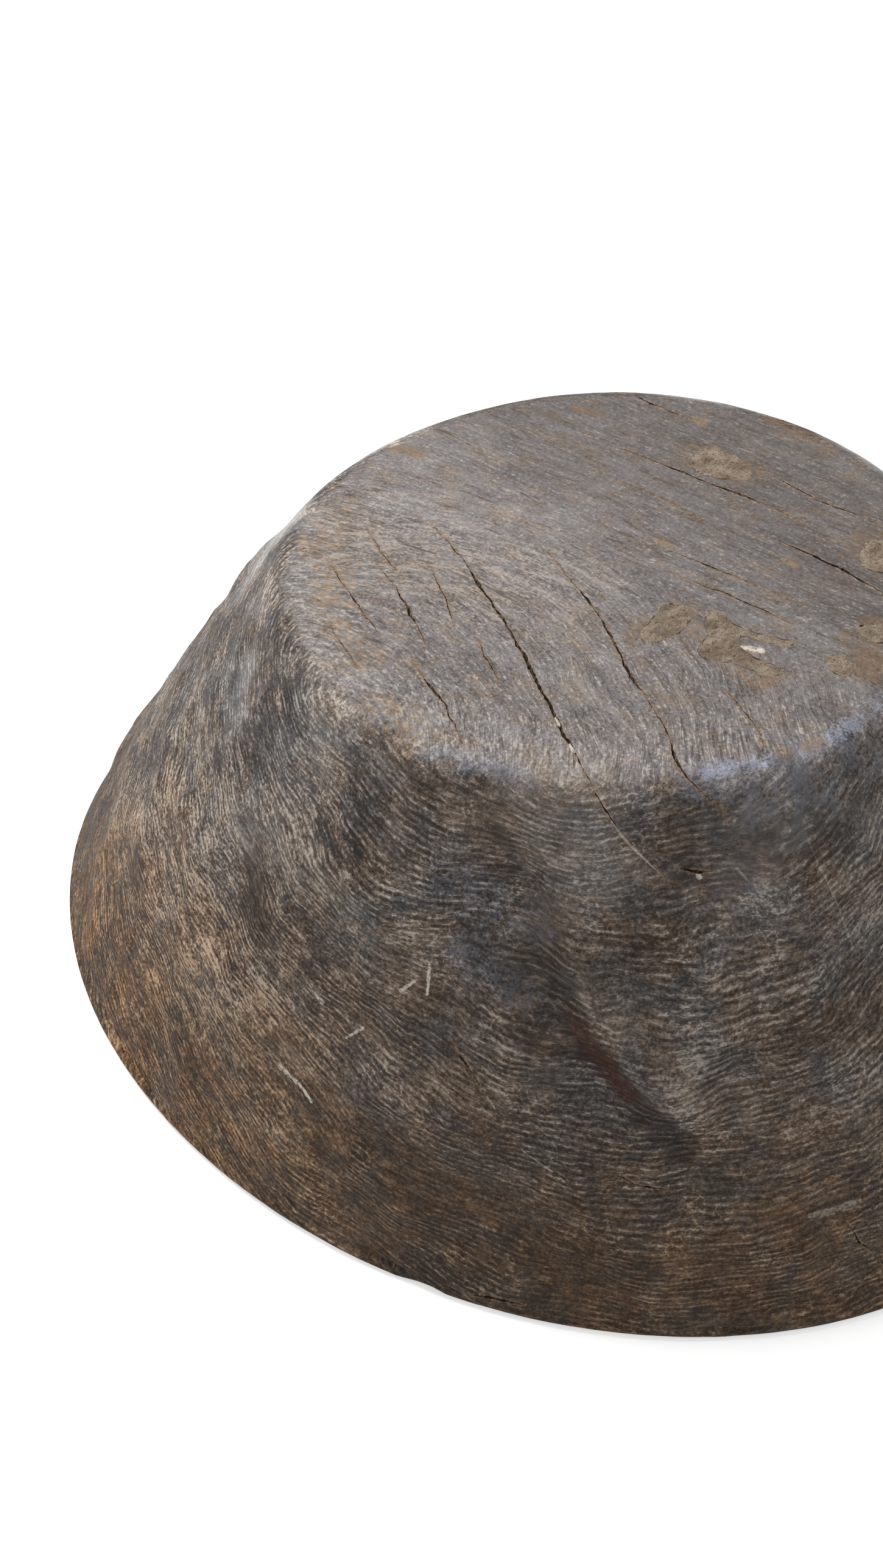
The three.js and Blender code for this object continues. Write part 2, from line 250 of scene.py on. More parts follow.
def make_mesh(name, points, *faces):
    """A mesh object from an array of points and groups of face corners."""
    mesh = bpy.data.meshes.new(name)
    corners = [np.asarray(row).tolist() for group in faces for row in group]
    mesh.from_pydata(np.asarray(points).reshape(-1, 3).tolist(), [], corners)
    return add_object(name, mesh)


def quads_between(rows):
    """Faces between each row of point numbers and the next, closed round each row."""
    ahead = np.roll(rows, -1, axis=1)
    return join(rows[:-1], rows[1:], ahead[1:], ahead[:-1]).reshape(-1, 4)


def quads_of(grid):
    """Faces of an open grid of point numbers."""
    return join(grid[:-1, :-1], grid[1:, :-1], grid[1:, 1:], grid[:-1, 1:]).reshape(-1, 4)


# The foot is a square grid drawn out to a disc, so that it has no pole where checks are cut.
line = np.linspace(-1, 1, foot_steps + 1)
a, b = np.meshgrid(line, line, indexing="ij")
lengthwise = np.abs(a) >= np.abs(b)
with np.errstate(divide="ignore", invalid="ignore"):
    corner_angle = np.where(lengthwise, b / a, 2 - a / b) * math.pi / 4
reach = np.where(lengthwise, a, b)
foot_angle = np.where(reach == 0, 0, corner_angle) + np.where(reach < 0, math.pi, 0)
foot_points = outside(foot_angle, 3 - np.abs(reach))
number = np.arange(foot_points[..., 0].size).reshape(foot_points.shape[:2])
foot_rim = np.concatenate([number[-1, :-1], number[:0:-1, -1], number[0, :0:-1], number[:-1, 0]])
foot_rim = np.roll(foot_rim, -(foot_steps // 2))

# From there, rings run down the outside, round the rim's edge and up the hollow to its middle.
angles = 2 * math.pi * np.arange(steps_round)[None, :] / steps_round
outer_legs = [np.linspace(2, 1, 12)[1:], np.linspace(1, 0, 73)[1:], np.linspace(0, -1, 7)[1:]]
hollow_legs = [np.linspace(-1, 0, 6), np.linspace(0, 1, 27)[1:], np.linspace(1, 2, 25)[1:]]
hollow_legs.append(np.linspace(2, 3, 9)[1:-1])
outer_rings = outside(angles, np.concatenate(outer_legs)[:, None])
hollow_rings = inside(angles, np.concatenate(hollow_legs)[:, None])
rings = np.concatenate([outer_rings, hollow_rings])
ring_rows = np.vstack([foot_rim, number.size + np.arange(rings[..., 0].size).reshape(-1, steps_round)])
hollow_top = [*(foot_middle * hollow_depth / bowl_height), inside(np.array(0.0), np.array(3.0))[2]]
bowl_points = np.vstack([foot_points.reshape(-1, 3), rings.reshape(-1, 3), hollow_top])
last_row = ring_rows[-1]
top_faces = join(last_row, len(bowl_points) - 1, np.roll(last_row, -1))
bowl_points[:, 2] = np.maximum(bowl_points[:, 2], 0)
bowl = make_mesh("hewn_bowl", bowl_points, quads_of(number), quads_between(ring_rows), top_faces)
bowl.data.shade_smooth()


# Drying checks: the wood has opened along the grain, widest near the edge of the foot.
# Each is a rough V that wanders, narrows and runs out at both ends, cut out of the bowl.
def smooth_route(knots, step, closed=False):
    """Points a step apart on a cubic curve through the knots, whose slope at each knot is half the way
    from the knot before it to the knot after it."""
    knots = np.asarray(knots, float)
    if closed:
        around = np.vstack([knots[-1:], knots, knots[:2]])
    else:
        around = np.vstack([2 * knots[:1] - knots[1:2], knots, 2 * knots[-1:] - knots[-2:-1]])
    before, here, there, after = (around[i : len(around) - 3 + i, None] for i in range(4))
    t = np.linspace(0, 1, 40, endpoint=False)[:, None]
    curve = here + (there - before) * t / 2 + (2 * before - 5 * here + 4 * there - after) * t**2 / 2
    curve = curve + (3 * here - before - 3 * there + after) * t**3 / 2
    curve = np.vstack([curve.reshape(-1, knots.shape[1]), knots[:1] if closed else knots[-1:]])
    gone = np.concatenate([[0], np.cumsum(np.linalg.norm(np.diff(curve, axis=0), axis=1))])
    count = max(3, round(gone[-1] / step))
    stops = np.linspace(0, gone[-1], count + 1)[: count if closed else None]
    return join(*(np.interp(stops, gone, axis) for axis in curve.T)), stops


def on_foot(shares):
    """Places in plan, from hundredths of the foot's half length and half width out of its middle."""
    return foot_middle + np.asarray(shares, float) * [foot_length / 200, foot_width / 200]


def over_plan(places):
    """Angle and stage of the outside over places in plan: the span of stages is halved until the
    section lies as far out as the place."""
    low, high = np.zeros(len(places)), np.full(len(places), 3.0)
    angle = np.arctan2(places[:, 1], places[:, 0])
    for _ in range(40):
        stage = (low + high) / 2
        radius, height = outer_section(angle, stage)
        off = places - foot_middle * (height / bowl_height)[:, None]
        angle = np.arctan2(off[:, 1], off[:, 0])
        beyond = np.hypot(off[:, 0], off[:, 1]) > outer_section(angle, stage)[0]
        low, high = np.where(beyond, low, stage), np.where(beyond, stage, high)
    return angle, stage


def from_middle(points):
    """The offset of points from the bowl's middle at their height."""
    return points[:, :2] - foot_middle * points[:, 2:] / bowl_height


def near_wall(places):
    """Angle and stage of the outside nearest to places on the wall, from their heights."""
    off = from_middle(places)
    angle = np.arctan2(off[:, 1], off[:, 0])
    wall_top = outer_section(angle, np.ones(len(places)))[1]
    return angle, (places[:, 2] - rim_rounding) / (wall_top - rim_rounding)


def surface_at(angle, stage):
    """Points of the outside, and the way it faces: square to the way from a stage a little back to one
    a little ahead."""
    ahead = outer_section(angle, stage + 0.004)
    back = outer_section(angle, stage - 0.004)
    rise, run = ahead[1] - back[1], np.where(stage > 2, -1, ahead[0] - back[0])
    return outside(angle, stage), unit(join(rise * np.cos(angle), rise * np.sin(angle), -run))


def carry(line, across, lift):
    """A shape carried along a line, by its offsets across the line and off the surface."""
    at, up = (part[:, None] for part in line)
    side = unit(np.cross(up, np.gradient(at, axis=0)))
    return at + side * across[..., None] + up * lift[..., None]


def check_body(angle, stage, stops, half_width, depth, salt, proud=0.004):
    """A V cut carried along the surface. Its width, depth, middle and sides wander with soft noise."""

    def wander(size, row):
        """Soft noise along the check, from minus to plus one half."""
        return cloud(join(stops, row), size, salt) - 0.5

    from_end = np.minimum(stops, stops[-1] - stops)
    opening = 0.15 + 0.85 * smooth(from_end, 0, min(0.035, stops[-1] / 2.2))
    opening = opening * np.where(stage[0] > 2, 0.5 + 0.5 * smooth(stage, 1.2, 2.1), 1)
    width = half_width * opening * np.maximum(0.2, 1 + 1.5 * wander(0.008, 1) + 1.1 * wander(0.0016, 2))
    deep = depth * opening * (0.9 + 0.4 * wander(0.009, 3))
    off = 0.001 * wander(0.0055, 4) + 0.00035 * wander(0.0013, 5)
    across = join(
        off * 0.4 + 0.0006 * wander(0.004, 6),
        off + width * (0.62 + 0.5 * wander(0.003, 7)),
        off + width * (1.02 + 0.3 * wander(0.0012, 8)),
        off + width * 1.1,
        off - width * 1.1,
        off - width * (1.02 + 0.3 * wander(0.0012, 9)),
        off - width * (0.62 + 0.5 * wander(0.003, 10)),
    )
    lift = deep[:, None] * [-1, -0.45, 0, 0, 0, 0, -0.45] + [0, 0, 0, proud, proud, 0, 0]
    numbers = np.arange(across.size).reshape(across.shape)
    faces = np.roll(quads_between(numbers)[:, ::-1], 1, axis=1)
    fan = np.arange(1, across.shape[1] - 1)
    caps = np.concatenate([join(0, fan + 1, fan), numbers[-1, 0] + join(0, fan, fan + 1)])
    return carry(surface_at(angle, stage), across, lift).reshape(-1, 3), faces, caps


foot_checks = [
    ([(-54, -20), (-35, -27), (-21, -34), (1, -45), (26, -60), (43, -70), (56, -77), (66, -80),
     (76, -78), (86, -74)], 0.36, 4.5),
    ([(-20, -7), (12, -21), (36, -36), (57, -47), (74, -59), (91, -57)], 0.33, 3.5),
    ([(-54, -45), (-39, -51), (-26, -58), (-13, -65)], 0.36, 2.8),
    ([(-14, -71), (-4, -76), (7, -80), (22, -89)], 0.32, 2.5),
    ([(-69, -34), (-54, -41), (-43, -45)], 0.19, 1.4),
    ([(-43, -75), (-31, -80), (-20, -85)], 0.24, 1.6),
    ([(-42, -35), (-30, -42), (-14, -53)], 0.16, 1.2),
    ([(-7, -52), (-1, -56), (12, -63)], 0.18, 1.2),
    ([(-39, 51), (-10, 53), (18, 55), (33, 54)], 0.3, 2.5),
    ([(24, 42), (47, 43), (67, 41), (83, 38)], 0.36, 3.5),
    ([(2, 16), (25, 19), (50, 21)], 0.24, 2),
    ([(14, 8), (35, 11), (58, 12)], 0.26, 2.2),
    ([(-63, 74), (-43, 77), (-33, 78)], 0.34, 3),
    ([(-6, 71), (23, 68), (43, 69), (58, 66)], 0.24, 2),
    ([(-37, 35), (-12, 37), (8, 36)], 0.2, 1.6),
    ([(-64, -54), (-53, -59), (-44, -63), (-26, -70)], 0.22, 1.6),
    ([(60, -24), (74, -30), (84, -37)], 0.22, 1.8),
]
wall_checks = [
    ([(104, -81, 156), (109, -77, 154), (113, -73, 154)], 0.3, 1.2),
    ([(93, -167, 4), (101, -163, 6), (112, -158, 6)], 0.5, 3),
    ([(125, -126, 57), (131, -123, 55), (136, -120, 54), (142, -115, 53)], 0.35, 1.8),
    ([(183, -76, 37), (189, -74, 28), (193, -71, 22), (198, -69, 15)], 0.45, 2.5),
    ([(63, -142, 94), (72, -142, 86), (80, -142, 79)], 0.25, 1.2),
    ([(-160, 30, 96), (-170, 33, 80), (-176, 30, 62)], 0.5, 3),
    ([(40, 152, 96), (46, 160, 76), (44, 168, 55)], 0.45, 2.5),
]
cutters, check_lines = [], []
for salt, (route, half_width, depth) in enumerate(foot_checks):
    places, stops = smooth_route(on_foot(route), 0.0006)
    cutters.append(check_body(*over_plan(places), stops, half_width / 1000, depth / 1000, 60 + salt))
    check_lines.append(surface_at(*over_plan(places[::4])))
for salt, (route, half_width, depth) in enumerate(wall_checks):
    places, stops = smooth_route(np.array(route) / 1000, 0.0009)
    cutters.append(check_body(*near_wall(places), stops, half_width / 1000, depth / 1000, 80 + salt))
    check_lines.append(surface_at(*near_wall(places[::3])))


# Worn hollows in the foot, a few millimetres deep, with ragged outlines: dried earth sits in them.
# Each is cut to its outline, and its fill is made further down from the same outline.
earth_outlines = {
    "earth_centre": [
        (36, 1), (39, 3), (44, 1), (51, 2), (62, 5), (60, 1), (50, -2), (52, -6), (59, -8), (69, -6),
        (66, -12), (56, -14), (47, -17), (43, -13), (42, -8), (38, -5),
    ],
    "earth_left": [(27, -20), (32, -21), (35, -12), (32, -4), (27, -2), (24, -5), (25, -12)],
    "earth_far": [(-17, 58), (-19, 65), (-17, 70), (-7, 70), (1, 66), (1, 61), (-9, 56)],
    "earth_edge": [(51, 56), (51, 61), (57, 63), (63, 58), (65, 51), (59, 48), (54, 50)],
    "earth_right": [(72, 22), (75, 27), (80, 27), (82, 22), (78, 20)],
    "earth_near_right": [(74, 4), (75, 8), (80, 9), (84, 7), (83, 3), (79, 2)],
}


def inward(ring):
    """The way in at each point of a closed outline that runs counterclockwise: the way from the point
    before it to the point after it, turned left by a quarter."""
    ahead = unit(np.roll(ring, -1, axis=0) - np.roll(ring, 1, axis=0))
    return join(-ahead[:, 1], ahead[:, 0])


def ragged_outline(shares, salt):
    """A closed outline in plan, counterclockwise, made ragged by soft noise."""
    ring, _ = smooth_route(on_foot(shares), 0.0006, closed=True)
    if np.sum(ring[:, 0] * np.roll(ring[:, 1], -1) - ring[:, 1] * np.roll(ring[:, 0], -1)) < 0:
        ring = ring[::-1]
    move = 0.0012 * (cloud(ring, 0.003, salt) - 0.5) + 0.0006 * (cloud(ring, 0.0011, salt + 1) - 0.5)
    return ring + inward(ring) * move[:, None]


def prism(outline, low, high):
    """A closed body with the outline's sides between two levels."""
    count = len(outline)
    levels = np.repeat([low, high], count)[:, None]
    k = np.arange(count)
    sides = join(k, np.roll(k, -1), np.roll(k, -1) + count, k + count)
    return np.hstack([np.vstack([outline, outline]), levels]), sides, [k[::-1], k + count]


def apply_cut(target, name, bodies, operation):
    """Joins the bodies into one cutter and applies it to the target with a Boolean modifier."""
    points, faces, start = [], [], 0
    for body in bodies:
        points.append(body[0])
        faces += [np.asarray(row) + start for group in body[1:] for row in group]
        start += len(body[0])
    cutter = make_mesh(name, np.vstack(points), faces)
    boolean = target.modifiers.new(name, "BOOLEAN")
    boolean.object, boolean.operation, boolean.solver = cutter, operation, "MANIFOLD"
    bpy.context.view_layer.update()
    result = bpy.data.meshes.new_from_object(target.evaluated_get(bpy.context.evaluated_depsgraph_get()))
    target.modifiers.clear()
    spent = target.data, cutter.data
    result.name = target.name
    target.data = result
    bpy.data.objects.remove(cutter)
    for mesh in spent:
        bpy.data.meshes.remove(mesh)


recess_floor = bowl_height - 0.0036
outlines = {
    name: ragged_outline(shares, 100 + 2 * k) for k, (name, shares) in enumerate(earth_outlines.items())
}
recesses = [prism(outline, recess_floor, bowl_height + 0.003) for outline in outlines.values()]
for body in cutters:
    apply_cut(bowl, "check_cut", [body], "DIFFERENCE")
apply_cut(bowl, "recess_cut", recesses, "DIFFERENCE")


def vectors_of(elements, label):
    """An array of one vector for each point or face of a mesh."""
    values = np.empty(len(elements) * 3)
    elements.foreach_get(label, values)
    return values.reshape(-1, 3)


def numbers_near(points, path, reach):
    """Numbers of the points that lie within reach of the box round a path."""
    inside_box = (points > path.min(axis=0) - reach) & (points < path.max(axis=0) + reach)
    return np.flatnonzero(np.all(inside_box, axis=1))


# What the finish needs to know of each point: how far out over the foot it lies, whether it is in the
# hollow, how near a check runs, and which stains, painted sheen and painted shade it has.
points = vectors_of(bowl.data.vertices, "co")
off_middle = from_middle(points)
point_angle = np.arctan2(off_middle[:, 1], off_middle[:, 0])
point_radius = np.hypot(off_middle[:, 0], off_middle[:, 1])
wall_depth = wall_radius(point_angle, points[:, 2]) - point_radius
farthest_gap = 0.008
check_gap = np.full(len(points), farthest_gap)
for path, _ in check_lines:
    near = numbers_near(points, path, farthest_gap)
    check_gap[near] = np.minimum(check_gap[near], distance_to_path(points[near], path))
point_values = {
    "foot_reach": point_radius / (oval_radius(point_angle, foot_length, foot_width) - shoulder_reach),
    "hollow_share": smooth(wall_depth, 0.01, 0.013) * (points[:, 2] < 0.15),
    "check_gap": check_gap,
}


def seat(place):
    """A place in millimetres moved onto the bowl: up or down on the foot, level on the wall."""
    known = np.array([place]) / 1000
    return outside(*(over_plan(known) if len(place) == 2 else near_wall(known)))[0]


# Soft stains, rubbed places, painted sheen and painted shade: each row goes from a place to a place,
# with a reach in millimetres and a strength. Places of two numbers lie on the foot.
stains = {
    "earth_stain": [
        ((112, -37), (113, -36), 4, 0.8), ((116, -29), (118, -24), 4.5, 0.8),
        ((-6, 121), (22, 119), 9, 0.5), ((-68, 79), (-60, 83), 4.5, 0.8), ((-103, 10), (-92, 14), 5, 0.8),
        ((-82, -55), (-76, -60), 10, 0.5), ((-55, -78), (-53, -76), 9, 0.6),
        ((-38, -86), (-19, -92), 12, 0.45), ((68, 82), (78, 76), 12, 0.7), ((98, 38), (100, 34), 10, 0.8),
        ((106, 22), (110, 16), 10, 0.8), ((122, -151, 10), (127, -148, 11), 8, 0.6),
        ((92, -159, 24), (94, -158, 21), 7, 0.6), ((91, -155, 38), (93, -155, 36), 7, 0.6),
        ((46, -2), (84, -10), 14, 0.5), ((39, -22), (42, -6), 9, 0.55), ((-14, 84), (6, 86), 15, 0.6),
        ((68, 74), (80, 72), 14, 0.5), ((96, 28), (104, 30), 12, 0.5), ((-2, -108), (18, -116), 14, 0.4),
        ((168, -95, 42), (178, -74, 48), 20, 0.45), ((-60, -50), (20, -30), 20, 0.25),
        ((-90, -34), (-52, -74), 15, 0.42),
    ],
    "red_stain": [
        ((94, -119, 112), (103, -119, 101), 5, 0.6), ((103, -119, 101), (119, -116, 84), 6, 0.8),
    ],
    # Dark wood at the knot and in spots, and painted shade in the long adze cut down the near wall.
    "dark_stain_and_cut_shade": [
        ((76, -114, 140), (93, -120, 110), 12, 0.6), ((90, -121, 111), (138, -110, 66), 9, 0.85),
        ((60, -113, 160), (64, -112, 158), 11, 0.25), ((57, -113, 163), (66, -112, 154), 5, 0.6),
        ((66, -112, 154), (61, -117, 149), 5, 0.6), ((-102, -135, 63), (-97, -138, 63), 13, 0.7),
        ((34, -141, 118), (40, -140, 112), 14, 0.2), ((-5, -160, 72), (5, -160, 66), 14, 0.35),
        ((110, -73, 157), (130, -45, 160), 24, 0.5), ((140, -100, 90), (150, -90, 70), 18, 0.3),
        ((-32, -136, 123), (-14, -149, 99), 12, 0.45), ((78, -126, 120), (92, -128, 92), 15, 0.5),
    ],
    # Painted sheen: a blue-grey reflection on the worn shoulder of the foot and on facets of the near wall.
    "slate_sheen": [
        ((24, -114), (58, -102), 6, 0.62), ((58, -131, 122), (78, -124, 114), 12, 0.5),
        ((100, -66), (118, -38), 11, 0.9), ((116, -34), (122, -10), 8, 0.8),
        ((122, -10), (124, 10), 9, 0.8), ((122, -22), (130, -8, 169), 12, 0.6),
        ((112, -52, 172), (124, -30, 168), 11, 0.6), ((46, -125, 143), (62, -121, 140), 16, 0.45),
        ((66, -118, 140), (78, -117, 134), 11, 0.4), ((110, -73, 157), (122, -70, 145), 16, 0.35),
        ((104, -112, 112), (112, -106, 104), 12, 0.25),
    ],
    # Painted highlight: a bright blue-grey glint along the worn front edge of the foot.
    "blue_highlight": [
        ((100, -62), (111, -43), 4, 0.7), ((117, -31), (121, -9), 4.5, 0.8),
        ((121, -9), (123, 6), 4, 0.5),
    ],
    "rubbed_stain": [
        ((92, -112, 124), (112, -109, 106), 11, 0.8), ((89, -101, 147), (95, -100, 142), 10, 0.4),
        ((122, -110, 88), (133, -103, 85), 7, 0.5), ((118, -97, 115), (126, -90, 118), 12, 0.4),
        ((60, -113, 160), (66, -111, 157), 8, 0.4),
    ],
    "pale_zone": [
        ((-82, 8), (-44, -4), 44, 1.0), ((-48, -32), (-44, -30), 26, 0.7),
        ((-26, -18), (-18, 20), 28, 0.8),
    ],
    "arch_zone": [((-62, -42), (-6, -24), 42, 1.0)],
}
for label, kind in stains.items():
    point_values[label] = np.zeros(len(points))
    for start, end, reach_mm, strength in kind:
        gap = distance_to_path(points, np.stack([seat(start), seat(end)])) / (reach_mm / 1000)
        point_values[label] = np.maximum(point_values[label], strength * smooth(1 - gap, 0, 0.75))
for label, values in point_values.items():
    attribute = bowl.data.attributes.new(label, "FLOAT", "POINT")
    attribute.data.foreach_set("value", values.astype(np.float32))

# Faces inside a cut show split wood, dark partly as painted shade: those in a recess, and those that
# stand across the surface near a check.
middles = vectors_of(bowl.data.polygons, "center")
normals = vectors_of(bowl.data.polygons, "normal")
across_surface, cut_reach = 0.7, 0.005
face_reach = np.hypot(*((middles[:, :2] - foot_middle) / [foot_length / 2, foot_width / 2]).T)
in_recess = (face_reach < 0.88) & (middles[:, 2] > recess_floor - 0.0001)
in_cut = in_recess & ((normals[:, 2] < across_surface) | (middles[:, 2] < recess_floor + 0.0001))
for path, up in check_lines:
    near = numbers_near(middles, path, cut_reach)
    gaps = np.linalg.norm(middles[near][:, None] - path[None], axis=-1)
    lean = np.sum(normals[near] * up[np.argmin(gaps, axis=1)], axis=1)
    in_cut[near[(gaps.min(axis=1) < cut_reach) & (lean < across_surface)]] = True
bowl.data.set_sharp_from_angle(angle=math.radians(42))
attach(bowl, "root")
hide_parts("bowl")


# Finish of the bowl: hewn, weathered hardwood. On the wall the growth layers stand out as fine ridges,
# broken into dashes with pale dust on them; their crests carry painted highlight, and the gaps between
# them painted shade. On the foot the grain shows as grey and brown streaks, which run straight on the
# far half and bend round on the near half, with pale bands on its left.
class Value:
    """A socket of the node tree at hand, so that nodes can be written as sums and products."""

    def __init__(self, socket):
        self.socket = socket

    def __add__(self, other):
        return calc("ADD", self, other)

    def __sub__(self, other):
        return calc("SUBTRACT", self, other)

    def __mul__(self, other):
        return calc("MULTIPLY", self, other)

    def __truediv__(self, other):
        return calc("DIVIDE", self, other)


def node(kind, feeds=None, **settings):
    """Adds a node to the tree at hand, sets and feeds it, and gives its outputs by number and name."""
    made = tree.nodes.new(kind)
    for key, value in settings.items():
        setattr(made, key, value)
    for key, value in (feeds or {}).items():
        socket = made.inputs[key]
        if isinstance(value, Value):
            tree.links.new(value.socket, socket)
        else:
            socket.default_value = (*value, 1) if socket.type == "RGBA" else value
    return {key: Value(socket) for k, socket in enumerate(made.outputs) for key in (k, socket.name)}


def calc(operation, *values, clamp=False):
    """Arithmetic on values."""
    return node("ShaderNodeMath", dict(enumerate(values)), operation=operation, use_clamp=clamp)[0]


def vector_calc(operation, *values):
    """Arithmetic on vectors. A product or a distance comes out as a number."""
    result = int(operation in ("DOT_PRODUCT", "DISTANCE"))
    return node("ShaderNodeVectorMath", dict(enumerate(values)), operation=operation)[result]


def split(vector):
    """The three numbers of a vector."""
    made = node("ShaderNodeSeparateXYZ", {0: vector})
    return [made[axis] for axis in "XYZ"]


def vector(*parts):
    """A vector of up to three numbers."""
    return node("ShaderNodeCombineXYZ", dict(enumerate(parts)))[0]


def blend(share, under, over, kind="MIX"):
    """The colour over laid on the colour under by a share."""
    feeds = {0: share, 6: under, 7: over}
    return node("ShaderNodeMix", feeds, data_type="RGBA", blend_type=kind, clamp_factor=True)[2]


def tint(colour, by, share=1.0):
    """The colour multiplied by another, by a share."""
    return blend(share, colour, by, "MULTIPLY")


def span(value, low, high, start=0.0, end=1.0):
    """Carries a value from low..high to start..end along a soft step."""
    feeds = {0: value, 1: low, 2: high, 3: start, 4: end}
    return node("ShaderNodeMapRange", feeds, interpolation_type="SMOOTHSTEP")[0]


def weigh(middle, *parts):
    """A middle value plus each part's distance from one half times its weight."""
    total = middle
    for value, weight in parts:
        total = calc("ADD", (value - 0.5) * weight, total)
    return total


def tones(value, stops):
    """Colour by value, through stops of a place and a linear colour."""
    made = tree.nodes.new("ShaderNodeValToRGB")
    tree.links.new(value.socket, made.inputs[0])
    ramp = made.color_ramp.elements
    ramp.remove(ramp[1])
    for index, (at, shade) in enumerate(stops):
        stop = ramp[0] if index == 0 else ramp.new(at)
        stop.position, stop.color = at, (*shade, 1)
    return Value(made.outputs[0])


def texture(place, detail=2.0, roughness=0.5):
    """Soft noise with features one unit wide in the place given."""
    feeds = {"Vector": place, "Scale": 1.0, "Detail": detail, "Roughness": roughness}
    return node("ShaderNodeTexNoise", feeds)["Fac"]


def noise(place, size, detail=2.0, roughness=0.5, turn=0.0):
    """Soft noise whose features have the given size in metres along axes turned about Z."""
    size = (size, size, size) if isinstance(size, float) else size
    feeds = {"Vector": place, "Rotation": (0, 0, turn), "Scale": size}
    return texture(node("ShaderNodeMapping", feeds, vector_type="TEXTURE")[0], detail, roughness)


# Fine specks and finer grains of dust and wear, from 0 to 1 about a middle of one half: a group of
# nodes that all the finishes share.
speck_group = tree = bpy.data.node_groups.new("fine_specks", "ShaderNodeTree")
tree.interface.new_socket("Place", in_out="INPUT", socket_type="NodeSocketVector")
for label in ("Specks", "Grains"):
    tree.interface.new_socket(label, in_out="OUTPUT", socket_type="NodeSocketFloat")
place = node("NodeGroupInput")["Place"]
node("NodeGroupOutput", {"Specks": noise(place, 0.0012, 4.0, 0.7), "Grains": noise(place, 0.00045, 2.0, 0.6)})


def new_material(name):
    """An empty material, and its node tree."""
    made = bpy.data.materials.new(name)
    made.use_nodes = True
    made.node_tree.nodes.clear()
    return made, made.node_tree


def place_and_specks():
    """The place on the object, and the fine specks and grains there."""
    place = node("ShaderNodeTexCoord")["Object"]
    fine = node("ShaderNodeGroup", {"Place": place}, node_tree=speck_group)
    return place, fine["Specks"], fine["Grains"]


def show(feeds):
    """Ends the tree at hand in a shader, fed by name."""
    node("ShaderNodeOutputMaterial", {"Surface": node("ShaderNodeBsdfPrincipled", feeds)[0]})


wood, tree = new_material("hewn_wood")
place, specks, grains = place_and_specks()
at_x, at_y, at_z = split(place)


def point_value(label):
    """A value that the points of the bowl carry."""
    return node("ShaderNodeAttribute", attribute_name=label)["Fac"]


reach_out, hollow = point_value("foot_reach"), point_value("hollow_share")
ragged_noise = noise(place, 0.0045, 4.0, 0.65)
ragged = ragged_noise * 2.4 - 1.2
patches = noise(place, 0.036, 3.0, 0.55)
blotches = noise(place, 0.011, 4.0, 0.65)

# Growth layers: sheets that lean up to both sides of the near wall and wave slowly. A pattern is drawn
# out along them by its run and is as fine as its thickness across them.
lean = vector_calc("DOT_PRODUCT", place, (0.278, -0.308, 1.0))
waves = weigh(lean, (noise(place, 0.085, 1.0), 0.03), (noise(place, 0.026, 2.0), 0.0016))


def layer_place(run, thickness):
    """Place measured in runs along the growth layers and in thicknesses across them."""
    return vector(at_x / run, at_y / run, waves / thickness)


long_dashes = texture(layer_place(0.018, 0.0034), 3.0, 0.6)
dashes = texture(layer_place(0.004, 0.001), 3.0, 0.65)
fine_dashes = texture(layer_place(0.0019, 0.0005), 3.0, 0.6)
strokes = texture(layer_place(0.0085, 0.0017), 4.0, 0.7)
layer_pitch = 0.0018
phase = weigh(waves / layer_pitch, (long_dashes, 0.8), (blotches, 1.3))
ridge = calc("COSINE", phase * (2 * math.pi)) * 0.5 + 0.5
ridge_zone = span(noise(place, 0.026, 3.0, 0.6), 0.36, 0.58, 0.25, 1.0)
ridge_zone = ridge_zone * span(reach_out, 1.06, 1.16, 0.3, 1.0)
# Pale crests of the ridges: partly pale dust, partly painted highlight.
ridge_dust_and_highlight = span(ridge, 0.72, 0.96) * span(dashes, 0.45, 0.54) * ridge_zone
net_feeds = {"Vector": layer_place(0.0032, 0.0021), "Scale": 1.0, "Randomness": 0.85}
net_edge = node("ShaderNodeTexVoronoi", net_feeds, feature="DISTANCE_TO_EDGE")["Distance"]
net = span(net_edge, 0.11, 0.03) * span(fine_dashes, 0.42, 0.52)
net = net * span(noise(place, 0.019, 3.0, 0.6), 0.46, 0.62)
# Painted shade in the gaps between the ridges.
gap_shade = span(ridge, 0.24, 0.04) * ridge_zone
ridge_part = (ridge - 0.5) * ridge_zone + 0.5

# Wall colour: black brown painted shade in the gaps, brown on the faces, pale dust with painted
# highlight on the ridges, and pale dust in a fine net
crisp_dashes, crisp_fine = span(dashes, 0.45, 0.55), span(fine_dashes, 0.45, 0.55)
crisp_specks = span(specks, 0.45, 0.55)
crisp_strokes = span(strokes, 0.42, 0.6)
wall_tone = weigh(
    0.0, (patches, 0.62), (blotches, 0.68), (long_dashes, 0.5), (crisp_strokes, 0.24),
    (crisp_dashes, 0.11), (crisp_fine, 0.14), (crisp_specks, 0.16), (specks, 0.5), (ridge_part, 0.08),
)
wall_tone = wall_tone * span(at_y, -0.02, 0.09, 1.0, 0.62) * span(at_z, 0.08, 0.03, 1.0, 0.82)
wall_tone = wall_tone * span(at_x, 0.08, -0.04, 0.82, 1.28) + 0.472
wall_tone = wall_tone - span(at_y, 0.0, 0.12, 0.0, 0.07)
